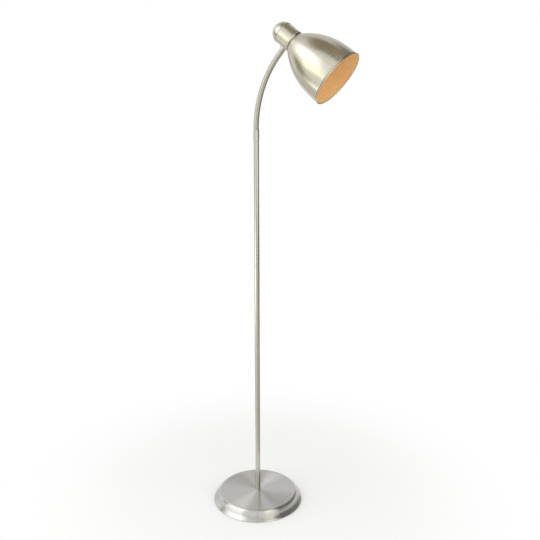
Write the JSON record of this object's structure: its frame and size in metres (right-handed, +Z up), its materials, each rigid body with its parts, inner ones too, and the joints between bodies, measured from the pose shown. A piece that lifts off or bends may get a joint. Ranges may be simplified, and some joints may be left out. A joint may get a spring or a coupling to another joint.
{
  "type": "gooseneck floor lamp",
  "caption": "Floor lamp with a stepped round foot, a sectioned slim pole, a bendable gooseneck and a tilted bell shade over a screw-in bulb.",
  "frame": {"origin": "centre of the underside of the foot, where it stands on the floor, on the pole's axis", "axes": "+Z up along the pole; +X is the way the gooseneck leans and the shade faces; +Y is the side of the lead's outlet in the foot"},
  "size_m": [0.3577, 0.23, 1.2182],
  "materials": {
    "satin_nickel": "satin brushed nickel plating",
    "felt": "pressed black felt",
    "cast_iron": "sand-cast, painted black",
    "rubber": "moulded, matt black",
    "zinc_steel": "bright zinc plating",
    "moulding": "moulded, black",
    "brass": "bright",
    "bulb_cap_aluminium": "pressed, bright",
    "insulator_glass": "black glass",
    "tinned_contact": "tinned",
    "opal_glass": "opal white"
  },
  "bodies": {
    "stand": {"floor_pad": "felt", "base_weight": "cast_iron", "base_cover": "satin_nickel", "cord_grommet": "rubber", "stem_nipple": "zinc_steel", "stem_washer": "zinc_steel", "stem_lock_washer": "zinc_steel", "stem_nut": "zinc_steel", "pole_lower": "satin_nickel", "pole_middle": "satin_nickel", "pole_upper": "satin_nickel", "pole_coupling_lower": "zinc_steel", "pole_coupling_upper": "zinc_steel", "neck_ferrule": "satin_nickel", "neck_root": "satin_nickel"},
    "neck_link_01": {"neck_link_01": "satin_nickel"},
    "neck_link_02": {"neck_link_02": "satin_nickel"},
    "neck_link_03": {"neck_link_03": "satin_nickel"},
    "neck_link_04": {"neck_link_04": "satin_nickel"},
    "neck_link_05": {"neck_link_05": "satin_nickel"},
    "neck_link_06": {"neck_link_06": "satin_nickel"},
    "neck_link_07": {"neck_link_07": "satin_nickel"},
    "neck_link_08": {"neck_link_08": "satin_nickel"},
    "neck_link_09": {"neck_link_09": "satin_nickel"},
    "neck_link_10": {"neck_link_10": "satin_nickel"},
    "neck_link_11": {"neck_link_11": "satin_nickel"},
    "head": {"neck_end": "satin_nickel", "neck_saddle": "satin_nickel", "neck_lock_nut": "zinc_steel", "head_collar": "satin_nickel", "dome_cap": "satin_nickel", "trim_ring": "satin_nickel", "bell_shade": "satin_nickel", "shade_ring": "moulding", "lampholder_body": "moulding", "lampholder_cap": "moulding", "lampholder_shell": "brass", "lampholder_contact": "brass", "terminal_screws": "brass", "bulb_cap": "bulb_cap_aluminium", "bulb_insulator": "insulator_glass", "bulb_contact": "tinned_contact", "bulb_glass": "opal_glass"}
  },
  "joints": [
    {"name": "neck_bend_1", "type": "hinge", "parent": "stand", "child": "neck_link_01", "pos_m": [0, 0, 0.985], "axis": [0.0003, 1, 0.0002], "range_deg": [-12, 12]},
    {"name": "neck_sway_1", "type": "hinge", "parent": "neck_link_01", "child": "neck_link_02", "pos_m": [0.00103, 0, 1.00177], "axis": [0.9958, 0, -0.0915], "range_deg": [-10, 10]},
    {"name": "neck_bend_2", "type": "hinge", "parent": "neck_link_02", "child": "neck_link_03", "pos_m": [0.00307, 0, 1.01844], "axis": [0.0003, 1, 0.0002], "range_deg": [-12, 12]},
    {"name": "neck_sway_2", "type": "hinge", "parent": "neck_link_03", "child": "neck_link_04", "pos_m": [0.00613, 0, 1.03496], "axis": [0.9772, 0, -0.2122], "range_deg": [-10, 10]},
    {"name": "neck_bend_3", "type": "hinge", "parent": "neck_link_04", "child": "neck_link_05", "pos_m": [0.0102, 0, 1.05126], "axis": [0.0003, 1, 0.0002], "range_deg": [-12, 12]},
    {"name": "neck_sway_3", "type": "hinge", "parent": "neck_link_05", "child": "neck_link_06", "pos_m": [0.01525, 0, 1.06729], "axis": [0.9441, 0, -0.3297], "range_deg": [-10, 10]},
    {"name": "neck_bend_4", "type": "hinge", "parent": "neck_link_06", "child": "neck_link_07", "pos_m": [0.02127, 0, 1.08297], "axis": [0.0003, 1, 0.0002], "range_deg": [-12, 12]},
    {"name": "neck_sway_4", "type": "hinge", "parent": "neck_link_07", "child": "neck_link_08", "pos_m": [0.02824, 0, 1.09826], "axis": [0.8969, 0, -0.4423], "range_deg": [-10, 10]},
    {"name": "neck_bend_5", "type": "hinge", "parent": "neck_link_08", "child": "neck_link_09", "pos_m": [0.03612, 0, 1.11309], "axis": [0.0003, 1, 0.0002], "range_deg": [-12, 12]},
    {"name": "neck_sway_5", "type": "hinge", "parent": "neck_link_09", "child": "neck_link_10", "pos_m": [0.0449, 0, 1.12742], "axis": [0.8363, 0, -0.5483], "range_deg": [-10, 10]},
    {"name": "neck_bend_6", "type": "hinge", "parent": "neck_link_10", "child": "neck_link_11", "pos_m": [0.05454, 0, 1.14118], "axis": [0.0003, 1, 0.0002], "range_deg": [-12, 12]},
    {"name": "neck_sway_6", "type": "hinge", "parent": "neck_link_11", "child": "head", "pos_m": [0.065, 0, 1.15432], "axis": [0.8049, 0, -0.5934], "range_deg": [-10, 10]}
  ],
  "couplings": [
    {"joint": "neck_bend_2", "follows": "neck_bend_1", "ratio": 1},
    {"joint": "neck_bend_3", "follows": "neck_bend_1", "ratio": 1},
    {"joint": "neck_bend_5", "follows": "neck_bend_4", "ratio": 1},
    {"joint": "neck_bend_6", "follows": "neck_bend_4", "ratio": 1},
    {"joint": "neck_sway_2", "follows": "neck_sway_1", "ratio": 1},
    {"joint": "neck_sway_3", "follows": "neck_sway_1", "ratio": 1},
    {"joint": "neck_sway_4", "follows": "neck_sway_1", "ratio": 1},
    {"joint": "neck_sway_5", "follows": "neck_sway_1", "ratio": 1},
    {"joint": "neck_sway_6", "follows": "neck_sway_1", "ratio": 1}
  ]
}
